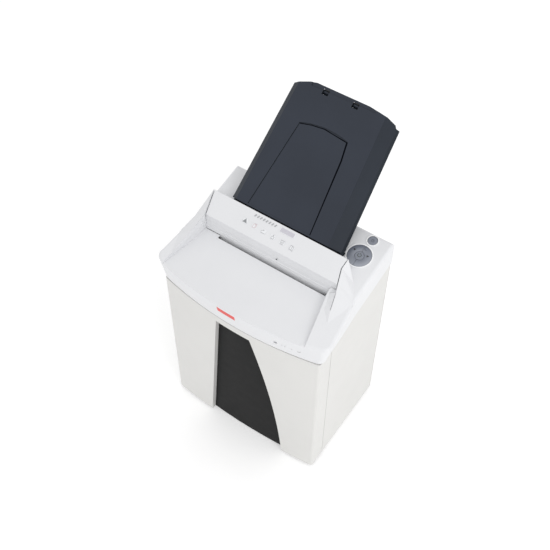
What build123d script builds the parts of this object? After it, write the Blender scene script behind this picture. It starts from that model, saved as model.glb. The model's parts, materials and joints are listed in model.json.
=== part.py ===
from build123d import *

# Autofeed paper shredder: cabinet, pull-out waste container, sloped head with infeed dish,
# sheet-feeder lid, control dial, cutting block and its drive. Millimetres, +Z up, +Y to the back.
import math
import os

os.makedirs("parts", exist_ok=True)

# ---------------------------------------------------------------- driving dimensions
CABINET_WIDTH = 350.0
CABINET_DEPTH = 242.0
FOOT_HEIGHT = 6.0
DOOR_TOP = 396.5            # upper edge of the waste container's front
HEAD_BOTTOM = 398.0         # lower edge of the fascia
HEAD_BAND = 56.0            # height of the head's side band and fascia
HEAD_ROUNDING = 5.0         # rounding where the deck meets the band
HEAD_RISE = 46.0            # how much the deck climbs from front to back
WALL = 3.0                  # moulded wall thickness
SEAM = 0.6                  # visible gap between fixed shells
MOVE_GAP = 1.0              # gap round moving shells
SLOT_LENGTH = 240.0         # manual infeed slot
SLOT_FRONT = 99.0
SLOT_BACK = 106.0
LIP_BOTTOM = 441.5          # lower edge of the slot's two guiding lips
DOOR_WRAP = 40.0            # how far the container front wraps round the sides
DOOR_CORNER = 7.0           # rounding of the container front's upper side corners
DOOR_BOW_TOP = 17.0
DOOR_BOW_BOTTOM = 9.0
WINDOW_RECESS = 10.0
LID_TILT = 39.4
LID_FRONT = (158.0, 511.0)  # y, z of the lid's front edge
LID_LENGTH = 256.0
LID_X = -4.5                # middle of the lid's hinge and rollers
LID_LEFT = 126.0            # how far the lid's front edge reaches to each side of it
LID_RIGHT = 114.0
LID_TAPER = 11.5            # how far each side of the lid draws in over its length
LID_BAY = ((-130, 3), (130, 3), (130, 230), (-130, 230))
HINGE_S = 247.0             # lid hinge line, along the lid from its front edge
HINGE_DROP = 9.0            # and below the lid's top surface
SHAFT_GAP = 40.0            # between the two cutting shafts
SHAFT_MID_Y = 102.0
SHAFT_Z = 418.0
DISC_RADIUS = 22.0
DISC_THICKNESS = 4.0
DISC_PITCH = 10.0
DISC_COUNT = 24
DIAL_X = 134.5
DIAL_Y = 188.0
DIAL_RADIUS = 25.5
LOCK_X = 139.0
LOCK_Y = 226.5
LOCK_RADIUS = 12.0
STATUS_X = (90.0, 106.0)    # the two status lenses on the fascia
STATUS_Z = 421.0
ORIGIN_Y = 171.61           # the part's origin, behind the cabinet's front plane

HALF = CABINET_WIDTH / 2
SLOPE = HEAD_RISE / CABINET_DEPTH
DECK_FRONT = HEAD_BOTTOM + HEAD_BAND
DECK_ANGLE = math.degrees(math.atan(SLOPE))
FRAME_X = 128.0             # inner face of each cutting-block side frame
FRAME_THICKNESS = 3.0
SHAFT_FRONT_Y = SHAFT_MID_Y - SHAFT_GAP / 2
SHAFT_REAR_Y = SHAFT_MID_Y + SHAFT_GAP / 2
MOTOR_Y = 192.0
FEED_Y = 158.3
FEED_Z = 463.4
NODES = {}


# ---------------------------------------------------------------- helpers
def keep(name, *solids):
    """Store the solids of one node, moved so that the origin is under the part's middle."""
    NODES[name] = [Pos(0, -ORIGIN_Y, 0) * solid for solid in solids]


def box(x0, x1, y0, y1, z0, z1):
    return Pos((x0 + x1) / 2, (y0 + y1) / 2, (z0 + z1) / 2) * Box(x1 - x0, y1 - y0, z1 - z0)


def side_prism(points, x0, x1):
    """A (y, z) outline, extruded along X."""
    plane = Plane(origin=(x0, 0, 0), x_dir=(0, 1, 0), z_dir=(1, 0, 0))
    return extrude(plane * make_face(Polyline(*points, close=True)), x1 - x0)


def plan_prism(points, z0, z1):
    """An (x, y) outline, extruded along Z."""
    return extrude(Pos(0, 0, z0) * make_face(Polyline(*points, close=True)), z1 - z0)


def rod(x0, x1, y, z, radius):
    """A round bar along X."""
    bar = Cylinder(radius, x1 - x0, align=(Align.CENTER, Align.CENTER, Align.MIN))
    return Pos(x0, y, z) * Rot(0, 90, 0) * bar


def tube(x0, x1, y, z, outer, inner):
    return rod(x0, x1, y, z, outer) - rod(x0 - 1, x1 + 1, y, z, inner)


def deck(y):
    """Height of the sloped deck at depth y."""
    return DECK_FRONT + SLOPE * y


def deck_frame(x, y):
    """A frame lying in the deck, with Z out of it."""
    tilt = math.radians(DECK_ANGLE)
    normal = (0, -math.sin(tilt), math.cos(tilt))
    return Plane(origin=(x, y, deck(y)), x_dir=(1, 0, 0), z_dir=normal)


def lid_frame(x=LID_X, s=0.0, drop=0.0):
    """A frame lying in the lid: X across, Y up the slope, Z out of its top surface."""
    tilt = math.radians(LID_TILT)
    along = (math.cos(tilt), math.sin(tilt))
    y = LID_FRONT[0] + s * along[0] + drop * along[1]
    z = LID_FRONT[1] + s * along[1] - drop * along[0]
    return Plane(origin=(x, y, z), x_dir=(1, 0, 0), z_dir=(0, -along[1], along[0]))


def lid_point(s, drop):
    """World (y, z) of a point of the lid's side view."""
    origin = lid_frame(0, s, drop).origin
    return origin.Y, origin.Z


def disc(frame, radius, z0, z1):
    """A round plate in a tilted frame, between two heights."""
    return extrude(frame * Pos(0, 0, z0) * Circle(radius), z1 - z0)


def ring(frame, outer, inner, z0, z1):
    return disc(frame, outer, z0, z1) - disc(frame, inner, z0 - 1, z1 + 1)


def gear_face(teeth, module, backlash=0.25):
    """Outline of an involute spur gear at 20 degrees, thinned for backlash."""
    pressure = math.radians(20)
    pitch = module * teeth / 2
    base = pitch * math.cos(pressure)
    tip = pitch + 0.9 * module
    root = pitch - 1.2 * module
    half_tooth = math.pi / (2 * teeth) - backlash / (2 * pitch)
    half_base = half_tooth + math.tan(pressure) - pressure
    start = max(base, root + 0.05)
    flank = []
    for step in range(5):
        radius = start + (tip - start) * step / 4
        roll = math.acos(min(1.0, base / radius))
        flank.append((radius, half_base - (math.tan(roll) - roll)))
    points = []
    for tooth in range(teeth):
        middle = 2 * math.pi * tooth / teeth
        points.append((root, middle - flank[0][1]))
        points += [(radius, middle - angle) for radius, angle in flank]
        points += [(radius, middle + angle) for radius, angle in reversed(flank)]
        points.append((root, middle + flank[0][1]))
    return make_face(Polyline(*[(r * math.cos(a), r * math.sin(a)) for r, a in points], close=True))


def gear(x0, x1, y, z, teeth, module, turn=0.0, bore=0.0):
    """A spur gear on an X axis; turn is its phase in degrees from +Y towards +Z."""
    plane = Plane(origin=(x0, y, z), x_dir=(0, 1, 0), z_dir=(1, 0, 0))
    wheel = extrude(plane * Rot(0, 0, turn) * gear_face(teeth, module), x1 - x0)
    return wheel - rod(x0 - 1, x1 + 1, y, z, bore) if bore else wheel


# ---------------------------------------------------------------- cabinet
def side_wall(x0, x1):
    """A cabinet side wall: sloped top edge, and a hollow that follows the door's round corner."""
    front = DOOR_WRAP + MOVE_GAP
    top = HEAD_BOTTOM - SEAM
    back = CABINET_DEPTH - WALL - SEAM
    corner_y = DOOR_WRAP - DOOR_CORNER
    corner_z = DOOR_TOP - DOOR_CORNER
    wall = side_prism([(front, FOOT_HEIGHT), (back, FOOT_HEIGHT), (back, top + SLOPE * back),
                       (corner_y, top + SLOPE * corner_y), (corner_y, corner_z), (front, corner_z)], x0, x1)
    return wall - rod(x0 - 1, x1 + 1, corner_y, corner_z, DOOR_CORNER + MOVE_GAP)


def make_cabinet():
    base_top = FOOT_HEIGHT + 5
    base = box(-HALF + WALL + 0.5, HALF - WALL - 0.5, DOOR_WRAP + 4, CABINET_DEPTH - WALL - SEAM,
               FOOT_HEIGHT, base_top)
    base = fillet(base.edges().filter_by(Axis.Z), 4)
    keep("base_plate", base)
    for side, name in ((-1, "side_wall_left"), (1, "side_wall_right")):
        x0, x1 = sorted((side * (HALF - WALL), side * HALF))
        keep(name, side_wall(x0, x1))
    back_top = HEAD_BOTTOM + HEAD_RISE - SEAM
    back = box(-HALF, HALF, CABINET_DEPTH - WALL, CABINET_DEPTH, FOOT_HEIGHT, back_top)
    back = fillet(back.edges().filter_by(Axis.Z).group_by(Axis.Y)[-1], 2)
    for row in range(9):
        z = 352 + row * 9
        back -= box(-70, 70, CABINET_DEPTH - 5, CABINET_DEPTH + 5, z, z + 4)
    back -= box(-134, -106, CABINET_DEPTH - 5, CABINET_DEPTH + 5, 54, 75)
    back -= box(-96, -78, CABINET_DEPTH - 5, CABINET_DEPTH + 5, 54, 82)
    keep("back_wall", back)
    feet = []
    for x in (-150, 150):
        for y in (62, 222):
            foot = Pos(x, y, FOOT_HEIGHT / 2) * Cylinder(11, FOOT_HEIGHT)
            feet.append(chamfer(foot.edges().group_by(Axis.Z)[0], 1.2))
    keep("rubber_feet", *feet)
    rails = []
    for side in (-1, 1):
        x0, x1 = sorted((side * 166, side * (HALF - WALL - 0.5)))
        rails.append(box(x0, x1, 46, 230, base_top, base_top + 14))
    keep("guide_rails", *rails)
    shelf = box(-HALF + WALL + 0.5, HALF - WALL - 0.5, 14, CABINET_DEPTH - WALL - SEAM, 380, 384)
    shelf -= box(-124, 124, 66, 138, 370, 390)
    shelf -= box(-HALF, -HALF + 8, 0, DOOR_WRAP + 4, 370, 390)
    shelf -= box(HALF - 8, HALF, 0, DOOR_WRAP + 4, 370, 390)
    shelf -= box(143, 156, SHAFT_REAR_Y - 24, SHAFT_REAR_Y + 24, 370, 390)
    keep("cutter_shelf", shelf)
    screws = []
    for x in (-160, 160):
        for z in (30, 200, 420):
            head = Pos(x, CABINET_DEPTH + 1, z) * Rot(90, 0, 0) * Cylinder(4, 2)
            screws.append(head - box(x - 3, x + 3, CABINET_DEPTH + 1, CABINET_DEPTH + 3, z - 0.6, z + 0.6))
    keep("back_screws", *screws)


# ---------------------------------------------------------------- head housing
def head_plan(z, inset):
    """Plan outline of the head at one height: bowed front, flared ears, straight sides."""
    climb = (z - HEAD_BOTTOM) / HEAD_BAND
    ear = 177 + 11 * climb - inset
    side = HALF + 1 - inset
    front_y = 2 - 4 * climb + inset
    bow_y = -17 - 10 * climb + inset
    back = CABINET_DEPTH - inset
    corner = 9
    outline = [
        Line((-side, back), (-side, 112)),
        Line((-side, 112), (-ear, 20)),
        ThreePointArc((-ear, 20), (-ear + 2.0, front_y + 4.6), (-ear + corner, front_y)),
        ThreePointArc((-ear + corner, front_y), (0, bow_y), (ear - corner, front_y)),
        ThreePointArc((ear - corner, front_y), (ear - 2.0, front_y + 4.6), (ear, 20)),
        Line((ear, 20), (side, 112)),
        Line((side, 112), (side, back)),
        Line((side, back), (-side, back)),
    ]
    return Pos(0, 0, z) * make_face(outline)


def head_block(inset, top_drop, bottom_drop):
    """The head's outer form, shrunk sideways by inset, between two sloped planes."""
    form = loft([head_plan(380, inset), head_plan(540, inset)], ruled=True)
    low = HEAD_BOTTOM - bottom_drop
    high = DECK_FRONT - top_drop
    back = CABINET_DEPTH + 20
    band = side_prism([(-60, low), (0, low), (back, low + SLOPE * back),
                       (back, high + SLOPE * back), (-60, high - SLOPE * 60)], -230, 230)
    return form & band


def dish_space(grow):
    """The scooped infeed dish, grown outwards for its skin."""
    plan = plan_prism([(-176 - grow, -60), (-168 - grow, 10), (-153 - grow, 98), (-153 - grow, 106 + grow),
                       (125 + grow, 106 + grow), (125 + grow, 99), (148 + grow, -8), (154 + grow, -60)],
                      420, 520)
    floor = ThreePointArc((-60, 450 - grow), (35, 449.5 - grow), (112, 456.5 - grow))
    sky = Polyline((112, 456.5 - grow), (112, 520), (-60, 520), (-60, 450 - grow))
    plane = Plane(origin=(-230, 0, 0), x_dir=(0, 1, 0), z_dir=(1, 0, 0))
    return plan & extrude(plane * make_face([floor, sky]), 460)


def cheek(stations, tip=None):
    """A ridge beside the dish, through stations (y, outer x, ridge x, ridge height, inner x).

    With a tip (x, y) it rises from that point of the deck; without one it starts at a flat end."""
    sink = 1.5
    rows = []
    for y, outer_x, ridge_x, lift, inner_x in stations:
        base = deck(y) - sink
        rows.append([Vector(outer_x, y, base), Vector(ridge_x, y, deck(y) + lift), Vector(inner_x, y, base)])
    faces = []
    if tip is not None:
        point = Vector(tip[0], tip[1], deck(tip[1]) - sink)
        faces += [(point, rows[0][k], rows[0][(k + 1) % 3]) for k in range(3)]
    else:
        faces.append(rows[0])
    for near, far in zip(rows, rows[1:]):
        for k in range(3):
            following = (k + 1) % 3
            faces += [(near[k], far[k], far[following]), (near[k], far[following], near[following])]
    faces.append(rows[-1])
    return Solid(Shell([Face(Wire.make_polygon(face)) for face in faces]))


LEFT_CHEEK = ((54, -182, -161, 6, -159.5), (72, -182, -158.5, 10, -157), (107, -178.5, -155, 18, -153.65),
              (156, -177, -168, 26, -166.12))
RIGHT_SHOULDER = ((67, 170, 150, 5, 134), (88, 177, 145.5, 10, 129), (97.4, 178, 142, 12, 126.6))
RIGHT_CHEEK = ((97.3, 178, 142, 12, 141.3), (111, 172, 137, 16, 135.8), (137, 155, 128.4, 22, 126.9),
               (156, 138, 129.6, 26, 128.5))


def make_head():
    outer = head_block(0, 0, 0)
    rim = [edge for edge in outer.edges() if abs(edge.center().Z - deck(edge.center().Y)) < 1.0]
    outer = fillet(rim, HEAD_ROUNDING)
    void = head_block(WALL, WALL, 40) - dish_space(WALL)
    head = outer - void - dish_space(0)
    head += cheek(LEFT_CHEEK, tip=(-170, 11))
    head += cheek(RIGHT_SHOULDER, tip=(160, 40))
    head += cheek(RIGHT_CHEEK)
    head -= plan_prism([(141.4, 98), (150.2, 65), (151.0, 65), (142.2, 98)], 471, 495)
    head -= box(-SLOT_LENGTH / 2, SLOT_LENGTH / 2, SLOT_FRONT, SLOT_BACK + 2, 440, 520)
    head += box(-SLOT_LENGTH / 2, SLOT_LENGTH / 2, SLOT_FRONT - 2.5, SLOT_FRONT, LIP_BOTTOM, 454.5)
    head -= box(-152.8, 125, SLOT_BACK, 152, 440, 520)
    head -= box(LID_X - LID_LEFT - 0.5, LID_X + LID_RIGHT + 0.5, 150, 180.5, 440, 520)
    head -= disc(deck_frame(DIAL_X, DIAL_Y), DIAL_RADIUS - 1.5, -6, 6)
    head -= disc(deck_frame(LOCK_X, LOCK_Y), LOCK_RADIUS - 1.5, -6, 6)
    for x in STATUS_X:
        head -= box(x - 3.2, x + 3.2, -40, 20, STATUS_Z - 3.2, STATUS_Z + 3.2)
    keep("head_housing", head)


def hood_section(inset):
    """Side view of the hood: stepped front face, crease, sloped top panel, rear lip."""
    low = 457.0 if inset == 0 else 440.0
    return [(SLOT_BACK + inset, low), (SLOT_BACK + 1.2 + inset, 466), (SLOT_BACK + 2.0 + inset, 466.4),
            (SLOT_BACK + 2.8 + inset, 475), (SLOT_BACK + 3.6 + inset, 475.4), (110.8 + inset, 489 - inset),
            (155.5 - inset, 509.5 - inset * 1.1), (155.5 - inset, low)]


def make_hood():
    plan = plan_prism([(-152.6, 98), (-153.4, 107), (-166, 156.5), (128.2, 156.5), (126.6, 137), (135.5, 111),
                       (141, 98)], 440, 530)
    high = side_prism([(90, deck(90) + 0.3), (170, deck(170) + 0.3), (170, 540), (90, 540)], -170, 160)
    front = box(-152.6, 124.4, 100, 113, 440, 530)
    body = side_prism(hood_section(0), -168, 142)
    hood = (body & plan & high) + (body & front)
    hood -= side_prism(hood_section(WALL), -149, 119)
    hood += box(-SLOT_LENGTH / 2, SLOT_LENGTH / 2, SLOT_BACK, SLOT_BACK + 2.5, LIP_BOTTOM, 460)
    keep("hood", hood)
    lenses = []
    for index in range(6):
        x = -79 + index * 21.2
        y = 132.5 - index * 0.9
        frame = hood_frame(x, y)
        lenses.append(extrude(frame * Pos(0, 0, 0.05) * RectangleRounded(11, 9, 1.5), 0.5))
    keep("indicator_lenses", *lenses)
    label = extrude(hood_frame(5, 147.5) * Pos(0, 0, 0.05) * RectangleRounded(32, 11, 1.2), 0.5)
    keep("display_window", label)


def hood_frame(x, y):
    """A frame lying in the hood's top panel."""
    rise = (509.5 - 489) / (155.5 - 110.8)
    tilt = math.atan(rise)
    z = 489 + rise * (y - 110.8)
    return Plane(origin=(x, y, z), x_dir=(1, 0, 0), z_dir=(0, -math.sin(tilt), math.cos(tilt)))


def make_fascia_parts():
    lenses = []
    for x in STATUS_X:
        lens = Pos(x, -6, STATUS_Z) * Rot(90, 0, 0) * Cylinder(3, 14)
        lenses.append(lens & head_block(-0.3, 0, 0))
    keep("status_lenses", *lenses)
    plate = box(-31, 8, -60, 20, 430, 443)
    badge = plate & (head_block(-0.3, 0, 0) - head_block(0.0, -5, 5))
    keep("fascia_badge", badge)


# ---------------------------------------------------------------- controls on the deck
def half_ring(frame, outer, inner, side, z0, z1):
    crown = Plane(frame.origin, x_dir=frame.x_dir, z_dir=-frame.y_dir)
    low = Polyline((inner, z1 - 0.4), (inner, z0), (outer, z0), (outer, z1 - 1.2))
    top = ThreePointArc((outer, z1 - 1.2), ((outer + inner) / 2 + 0.8, z1 - 0.1), (inner, z1 - 0.4))
    whole = revolve(crown * make_face([low, top]), Axis(frame.origin, frame.z_dir))
    keep_box = frame * Pos(side * 30.25, 0, 0) * Box(60, 80, 40)
    return whole & keep_box


def make_controls():
    frame = deck_frame(DIAL_X, DIAL_Y)
    lock = deck_frame(LOCK_X, LOCK_Y)
    dial_bezel = ring(frame, DIAL_RADIUS, DIAL_RADIUS - 2.2, 0.05, 1.4)
    keep("control_bezels", dial_bezel, ring(lock, LOCK_RADIUS, LOCK_RADIUS - 2.2, 0.05, 1.3))
    for side, name in ((1, "forward_key"), (-1, "reverse_key")):
        keep(name, half_ring(frame, DIAL_RADIUS - 2.7, 8.9, side, -4.2, 2.2))
    button = disc(frame, 8.4, -4.2, 1.9)
    keep("power_button", fillet(button.edges().sort_by(Axis.Z)[-1], 0.5))
    release = disc(lock, LOCK_RADIUS - 2.9, -4.2, 1.0)
    keep("lid_release_button", fillet(release.edges().sort_by(Axis.Z)[-1], 0.5))
    board_frame = deck_frame(126, 206)
    board = extrude(board_frame * Pos(0, 0, -12.6) * Rectangle(74, 54), 1.6)
    chips = []
    for x, y, w, d, h in ((-20, -14, 16, 12, 3), (18, 16, 20, 10, 4), (-22, 16, 10, 10, 5)):
        chips.append(extrude(board_frame * Pos(x, y, -12.6 - h) * Rectangle(w, d), h))
    keep("control_board", board + chips[0] + chips[1] + chips[2])
    dome_places = ((0, 0), (14.0, 0), (-14.0, 0))
    domes = [extrude(frame * Pos(x, y, -11) * Rectangle(6, 6), 5.5) for x, y in dome_places]
    domes.append(extrude(lock * Pos(0, 0, -11) * Rectangle(6, 6), 5.5))
    keep("tact_switches", *domes)


# ---------------------------------------------------------------- waste container
def door_plan(z, inset):
    """Plan outline of the container front at one height."""
    climb = (z - FOOT_HEIGHT) / (DOOR_TOP - FOOT_HEIGHT)
    bow = DOOR_BOW_BOTTOM + (DOOR_BOW_TOP - DOOR_BOW_BOTTOM) * climb
    side = HALF - inset
    front = 1.0 + inset
    corner = 5.5
    middle = corner * (1 - math.sqrt(0.5))
    outline = [
        Line((-side, 120), (-side, front + corner)),
        ThreePointArc((-side, front + corner), (-side + middle, front + middle), (-side + corner, front)),
        ThreePointArc((-side + corner, front), (0, inset - bow), (side - corner, front)),
        ThreePointArc((side - corner, front), (side - middle, front + middle), (side, front + corner)),
        Line((side, front + corner), (side, 120)),
        Line((side, 120), (-side, 120)),
    ]
    return Pos(0, 0, z) * make_face(outline)


def door_form(inset, low=-20, high=430):
    return loft([door_plan(low, inset), door_plan(high, inset)], ruled=True)


def window_outline(grow):
    """Front view of the window: straight left edge, bulging right edge, open at the foot."""
    left = Line((-80 - grow, -10), (-43 - grow, 379 + grow))
    top = Line((-43 - grow, 379 + grow), (33 + grow, 379 + grow))
    right = ThreePointArc((33 + grow, 379 + grow), (76 + grow, 205), (103 + grow, -10))
    bottom = Line((103 + grow, -10), (-80 - grow, -10))
    plane = Plane(origin=(0, -60, 0), x_dir=(1, 0, 0), z_dir=(0, -1, 0))
    return extrude(plane * make_face([left, top, right, bottom]), -120)


def make_container():
    wrap = box(-200, 200, -60, DOOR_WRAP, FOOT_HEIGHT, DOOR_TOP)
    corners = wrap.edges().filter_by(Axis.X).group_by(Axis.Y)[-1].sort_by(Axis.Z)[-1]
    wrap = fillet(corners, DOOR_CORNER)
    skin = (door_form(0) - (door_form(WALL) & box(-200, 200, -60, 200, -30, DOOR_TOP - WALL))) & wrap
    reveal = (window_outline(2.5) & door_form(0) & wrap) - door_form(WINDOW_RECESS + 2)
    front = skin + reveal
    front -= window_outline(0)
    keep("container_front", front)
    panel = door_form(WINDOW_RECESS) - door_form(WINDOW_RECESS + 3)
    panel = panel & window_outline(-0.3) & wrap
    keep("window_panel", panel)
    bin_outer = box(-158, 158, 17, 219, 14, 366)
    bin_outer = fillet(bin_outer.edges().filter_by(Axis.Z), 10)
    bin_inner = box(-156, 156, 19, 217, 16, 380)
    bin_inner = fillet(bin_inner.edges().filter_by(Axis.Z), 8)
    rim = fillet(box(-161, 161, 14, 221, 362, 366).edges().filter_by(Axis.Z), 12)
    waste_bin = (bin_outer + rim) - bin_inner
    for x in (-140, 120):
        for z in (60, 300):
            waste_bin += box(x, x + 20, -20, 17.5, z, z + 24) & door_form(WALL)
    keep("waste_bin", waste_bin)
    skids = [box(x - 6, x + 6, 46, 212, 11.4, 14) for x in (-130, 130)]
    keep("container_skids", *skids)
    keep("catch_plate", box(-15, 15, 219, 221, 340, 352))
    keep("catch_magnet", box(-18, 18, 222.4, 238.4, 336, 356))


# ---------------------------------------------------------------- sheet feeder
def lid_section(s, inset, top, chamfer_drop, foot):
    """The lid's chamfered channel section at s; the right side draws in towards the far end."""
    left = -LID_LEFT + inset + LID_TAPER * s / LID_LENGTH
    right = LID_RIGHT - inset - LID_TAPER * s / LID_LENGTH
    section = [(left, -foot), (left, -chamfer_drop - top), (left + 12, -top), (right - 25, -top),
               (right, -chamfer_drop - top), (right, -foot)]
    frame = lid_frame()
    origin = frame.from_local_coords(Vector(0, s, 0))
    plane = Plane(origin=origin, x_dir=(1, 0, 0), z_dir=-frame.y_dir)
    return plane * make_face(Polyline(*section, close=True))


def lid_channel(inset, top, chamfer_drop, foot, s0, s1):
    ends = [lid_section(s, inset, top, chamfer_drop, foot) for s in (s0, s1)]
    return loft(ends, ruled=True)


def lid_plan(points, z0, z1):
    """An outline in the lid's own plane, extruded across its thickness."""
    return extrude(lid_frame() * Pos(0, 0, z0) * make_face(Polyline(*points, close=True)), z1 - z0)


def lid_panel(inset_left, inset_right):
    """The lid's inlaid panel, open at the front, with a crowned far edge."""
    left = Line((-92 + inset_left, -20), (-67 + inset_left, 178 - inset_right))
    crown = ThreePointArc((-67 + inset_left, 178 - inset_right), (-18, 188 - inset_right),
                          (35 - inset_right, 182 - inset_right))
    right = Polyline((35 - inset_right, 182 - inset_right), (41 - inset_right, 146), (51 - inset_right, -20))
    front = Line((51 - inset_right, -20), (-92 + inset_left, -20))
    return extrude(lid_frame() * Pos(0, 0, -20) * make_face([left, crown, right, front]), 40)


def make_lid():
    outer = lid_channel(0, 0, 9, 15, 0, LID_LENGTH)
    inner = lid_channel(2.6, 3.0, 8.6, 40, 2.6, LID_LENGTH - 2.6)
    far_left = -LID_LEFT + LID_TAPER
    far_right = LID_RIGHT - LID_TAPER
    corner = lid_plan([(-LID_LEFT, -1), (LID_RIGHT, -1), (far_right + 1, 236), (far_right - 5, 245),
                       (far_right - 22, 251), (42, LID_LENGTH), (-70, LID_LENGTH),
                       (far_left + 32, 253), (far_left, 240)], -50, 5)
    lid = (outer & corner) - inner
    lid -= lid_panel(0, 0) & lid_plan(LID_BAY, -0.8, 2)
    lid -= (lid_panel(0, 0) - lid_panel(1.0, 2.0)) & lid_plan(LID_BAY, -2.2, 2)
    lid -= lid_plan([(-78, 247), (58, 249), (58, 260), (-78, 260)], -1.8, 2)
    for x in (-46.5, 16.5):
        lid -= lid_plan([(x - 6.6, 241), (x + 6.6, 241), (x + 6.6, 251.6), (x - 6.6, 251.6)], -20, 2)
    lid -= lid_plan([(-70, 249), (70, 249), (70, 262), (-70, 262)], -40, -4)
    plate_frame_top = 8.0
    pivot_y, pivot_z = lid_point(74, plate_frame_top + 1)
    for x in (-64, 64):
        ear = lid_plan([(x - 1.5, 69), (x + 1.5, 69), (x + 1.5, 79), (x - 1.5, 79)], -13, -2.9)
        lid += ear - rod(LID_X + x - 3, LID_X + x + 3, pivot_y, pivot_z, 2.05)
    keep("feeder_lid", lid)
    y, z = lid_point(HINGE_S, HINGE_DROP)
    arms = []
    for x in (-46.5, 16.5):
        for side in (-1, 1):
            place = LID_X + x + side * 8.6
            arm = tube(place - 1.2, place + 1.2, y, z, 4.4, 2.05)
            web = lid_plan([(x + side * 8.6 - 1.2, 236), (x + side * 8.6 + 1.2, 236),
                            (x + side * 8.6 + 1.2, HINGE_S), (x + side * 8.6 - 1.2, HINGE_S)], -12, -3.2)
            arms.append(arm + (web - rod(place - 3, place + 3, y, z, 2.05)))
    keep("lid_hinge_arms", *arms)
    plate = lid_plan([(-60, 8), (60, 8), (60, 74), (-60, 74)], -plate_frame_top - 2, -plate_frame_top)
    plate += rod(LID_X - 65, LID_X + 65, pivot_y, pivot_z, 2.0)
    keep("pressure_plate", plate)


def make_tray():
    left = -LID_LEFT + 0.5
    right = LID_RIGHT - 0.5
    draw = LID_TAPER * 240 / LID_LENGTH
    outer = lid_plan([(left, -8), (right, -8), (right - draw, 240), (left + draw, 240)], -31, -16)
    inner = lid_plan([(left + 3, -20), (right - 3, -20), (right - draw - 3, 260), (left + draw + 3, 260)],
                     -28, 0)
    tray = outer - inner
    throat_half = 112.0
    chute = lid_plan([(-throat_half, -42), (throat_half, -42), (throat_half, -8), (-throat_half, -8)], -31, -28)
    tray += chute
    for x in (-38, 38):
        tray -= lid_plan([(x - 13, -44), (x + 13, -44), (x + 13, -12), (x - 13, -12)], -40, -20)
    y, z = lid_point(HINGE_S, HINGE_DROP)
    for x in (-46.5, 16.5):
        arm = lid_plan([(x - 6, 228), (x + 6, 228), (x + 6, HINGE_S), (x - 6, HINGE_S)], -31, -HINGE_DROP)
        knuckle = rod(LID_X + x - 6, LID_X + x + 6, y, z, 4.4)
        bore = rod(LID_X + x - 8, LID_X + x + 8, y, z, 2.05)
        tray += (arm + knuckle) - bore
    for x in (-107.5, 98.5):
        tray += lid_plan([(x - 1.5, 20), (x + 1.5, 20), (x + 1.5, 180), (x - 1.5, 180)], -28.1, -21)
    keep("paper_tray", tray)
    pins = [rod(LID_X + x - 10.4, LID_X + x + 10.4, y, z, 2.0) for x in (-46.5, 16.5)]
    keep("lid_hinge_pins", *pins)


def make_feed_rollers():
    keep("feed_shaft", rod(-146, 133.5, FEED_Y, FEED_Z, 4.0))
    rollers = [tube(LID_X + x - 12, LID_X + x + 12, FEED_Y, FEED_Z, 13.0, 4.0) for x in (-38, 38)]
    keep("feed_rollers", *rollers)


# ---------------------------------------------------------------- cutting block
def cutting_shaft(y, offset, x_end):
    """A shaft with its row of toothed cutting discs, turned in one piece."""
    first = -DISC_PITCH * (DISC_COUNT - 1) / 2 + offset
    shaft = rod(-146 if y > SHAFT_MID_Y else -133.5, x_end, y, SHAFT_Z, 6.0)
    shaft += rod(-124, 124, y, SHAFT_Z, 11.0)
    for index in range(DISC_COUNT):
        x = first + index * DISC_PITCH
        shaft += rod(x - DISC_THICKNESS / 2, x + DISC_THICKNESS / 2, y, SHAFT_Z, DISC_RADIUS)
    for tooth in range(6):
        notch = Pos(0, y, SHAFT_Z) * Rot(tooth * 60, 0, 0) * Pos(0, 0, DISC_RADIUS + 0.2)
        shaft -= notch * Rot(45, 0, 0) * Box(260, 3.2, 3.2)
    return shaft


def frame_outline():
    return [(50, 386), (222, 386), (222, 452), (190, 470), (136, 470), (118, 443), (50, 443)]


def make_cutting_block():
    for side, name in ((-1, "side_frame_left"), (1, "side_frame_right")):
        x0, x1 = sorted((side * FRAME_X, side * (FRAME_X + FRAME_THICKNESS)))
        frame = side_prism(frame_outline(), x0, x1)
        for y in (SHAFT_FRONT_Y, SHAFT_REAR_Y):
            frame -= rod(x0 - 1, x1 + 1, y, SHAFT_Z, 9.0)
        frame -= rod(x0 - 1, x1 + 1, FEED_Y, FEED_Z, 6.0)
        if side > 0:
            frame -= rod(x0 - 1, x1 + 1, MOTOR_Y, SHAFT_Z, 8.0)
            frame -= rod(x0 - 1, x1 + 1, INTER_Y, INTER_Z, 4.0)
        keep(name, frame)
    bushes = []
    for side in (-1, 1):
        x0, x1 = sorted((side * (FRAME_X - 1), side * (FRAME_X + FRAME_THICKNESS + 1)))
        for y in (SHAFT_FRONT_Y, SHAFT_REAR_Y):
            bushes.append(tube(x0, x1, y, SHAFT_Z, 9.0, 6.05))
        bushes.append(tube(x0, x1, FEED_Y, FEED_Z, 6.0, 4.05))
    keep("shaft_bushes", *bushes)
    places = ((62, 393), (62, 438.5), (142, 393), (148, 440.5))
    bars = [rod(-FRAME_X, FRAME_X, y, z, 4.0) for y, z in places]
    for side in (-1, 1):
        x0, x1 = sorted((side * (FRAME_X + FRAME_THICKNESS), side * (FRAME_X + FRAME_THICKNESS + 2.6)))
        for y, z in places[:3]:
            bars.append(side_hexagon(x0, x1, y, z, 6.5))
    keep("tie_bars", *bars)
    keep("cutting_shaft_front", cutting_shaft(SHAFT_FRONT_Y, 0.0, 143.0))
    keep("cutting_shaft_rear", cutting_shaft(SHAFT_REAR_Y, DISC_PITCH / 2, 155.0))
    combs = [stripper_comb(SHAFT_FRONT_Y, -1, 0.0), stripper_comb(SHAFT_REAR_Y, 1, DISC_PITCH / 2)]
    keep("stripper_combs", *combs)


def side_hexagon(x0, x1, y, z, across):
    plane = Plane(origin=(x0, y, z), x_dir=(0, 1, 0), z_dir=(1, 0, 0))
    return extrude(plane * RegularPolygon(across / math.sqrt(3), 6), x1 - x0)


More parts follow.
